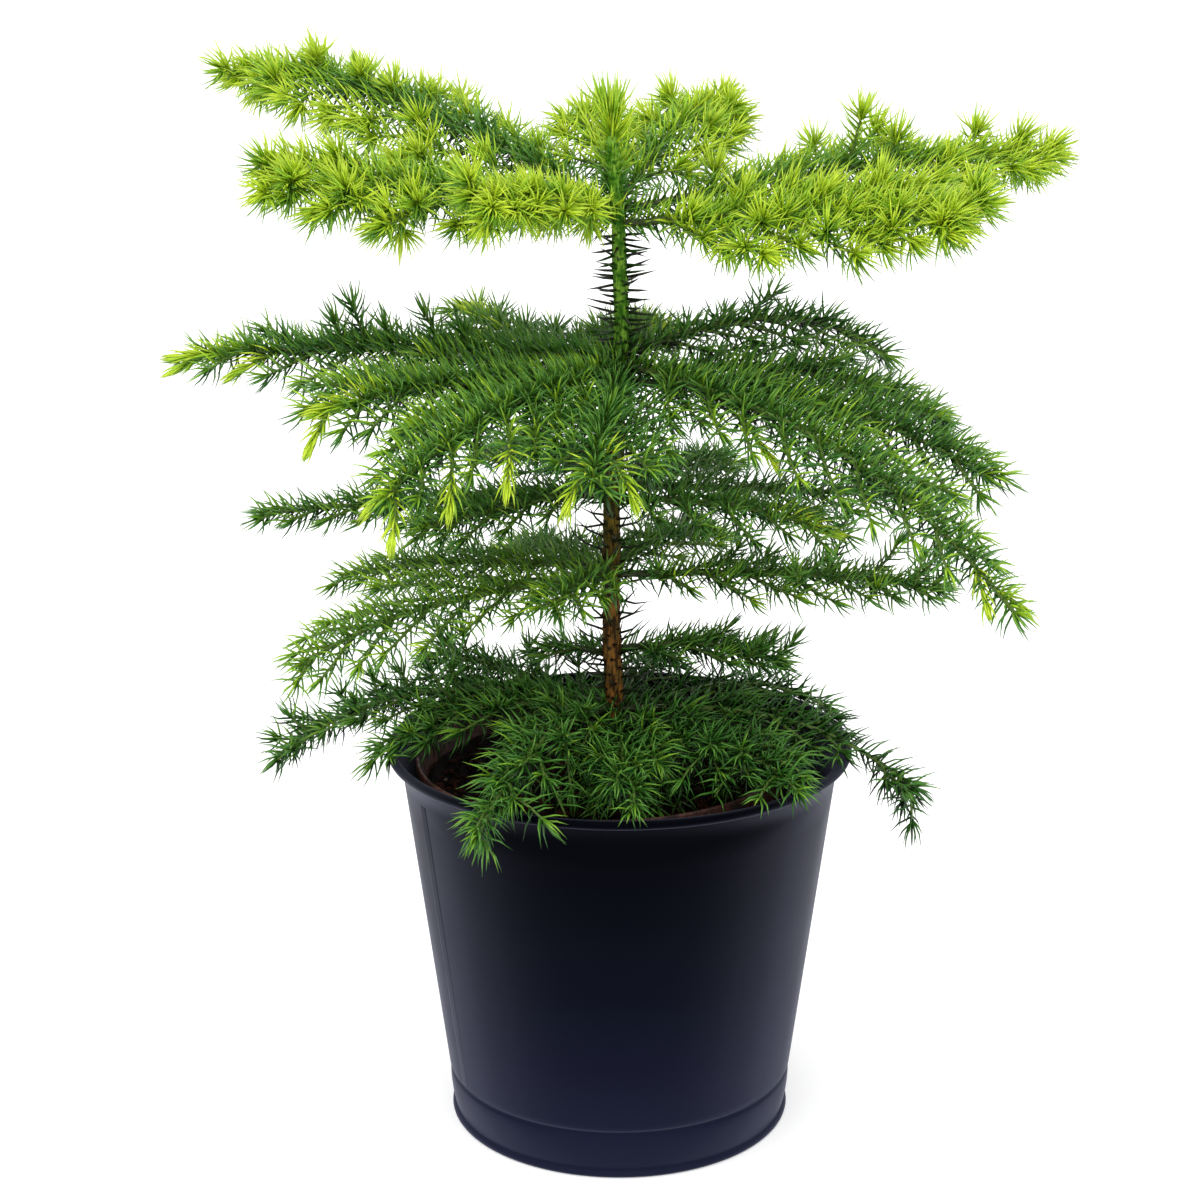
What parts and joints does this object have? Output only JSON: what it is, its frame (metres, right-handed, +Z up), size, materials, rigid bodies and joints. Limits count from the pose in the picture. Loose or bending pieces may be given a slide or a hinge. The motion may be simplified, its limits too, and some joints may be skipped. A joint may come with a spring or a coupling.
{
  "type": "potted norfolk island pine",
  "caption": "Young norfolk island pine with tiers of needled boughs, growing in a nursery pot that stands in a tapered sheet-metal planter.",
  "frame": {"origin": "centre of the planter's flat underside, where it stands", "axes": "+Z up along the trunk, -Y towards the front of the plant, +X to its right seen from the front"},
  "size_m": [0.2923, 0.2005, 0.3414],
  "materials": {
    "planter_paint": "satin powder coat, near black with a navy cast",
    "nursery_plastic": "thin moulded plastic, terracotta brown",
    "potting_mix": "loose moist peat and bark crumbs, dark brown",
    "bark": "thin young bark with leaf scars, ochre brown, green near the top",
    "needles": "waxy needles, mid to dark green",
    "young_needles": "waxy new needles, lime green"
  },
  "bodies": {
    "root": {"planter": "planter_paint", "nursery_pot": "nursery_plastic", "soil": "potting_mix", "trunk": "bark", "top_bough_1": "bark", "top_bough_2": "bark", "top_bough_3": "bark", "top_bough_4": "bark", "upper_bough_1": "bark", "upper_bough_2": "bark", "upper_bough_3": "bark", "upper_bough_5": "bark", "upper_bough_6": "bark", "upper_bough_7": "bark", "middle_bough_1": "bark", "middle_bough_2": "bark", "lower_bough_1": "bark", "lower_bough_4": "bark", "foot_bough_1": "bark", "top_mass_1": "young_needles", "top_mass_2": "young_needles", "top_mass_3": "young_needles", "top_mass_4": "young_needles", "top_mass_5": "young_needles", "top_mass_6": "young_needles", "top_mass_7": "young_needles", "upper_mass_1": "needles", "upper_mass_2": "needles", "upper_mass_3": "needles", "upper_mass_4": "needles", "upper_mass_5": "needles", "upper_mass_6": "needles", "upper_mass_7": "needles", "upper_mass_8": "needles", "upper_mass_9": "needles", "upper_mass_10": "needles", "middle_mass_1": "needles", "middle_mass_2": "needles", "middle_mass_3": "needles", "middle_mass_4": "needles", "middle_mass_5": "needles", "middle_mass_6": "needles", "lower_mass_1": "needles", "lower_mass_2": "needles", "lower_mass_3": "needles", "lower_mass_4": "needles", "lower_mass_5": "needles", "lower_mass_6": "needles", "low_mass_1": "needles", "low_mass_2": "needles", "foot_mass_1": "needles", "foot_mass_2": "needles", "foot_mass_3": "needles", "foot_mass_4": "needles", "foot_mass_5": "needles", "foot_mass_6": "needles", "foot_mass_7": "needles", "foot_mass_8": "needles", "foot_mass_9": "needles", "leader_mass": "young_needles"}
  },
  "joints": []
}
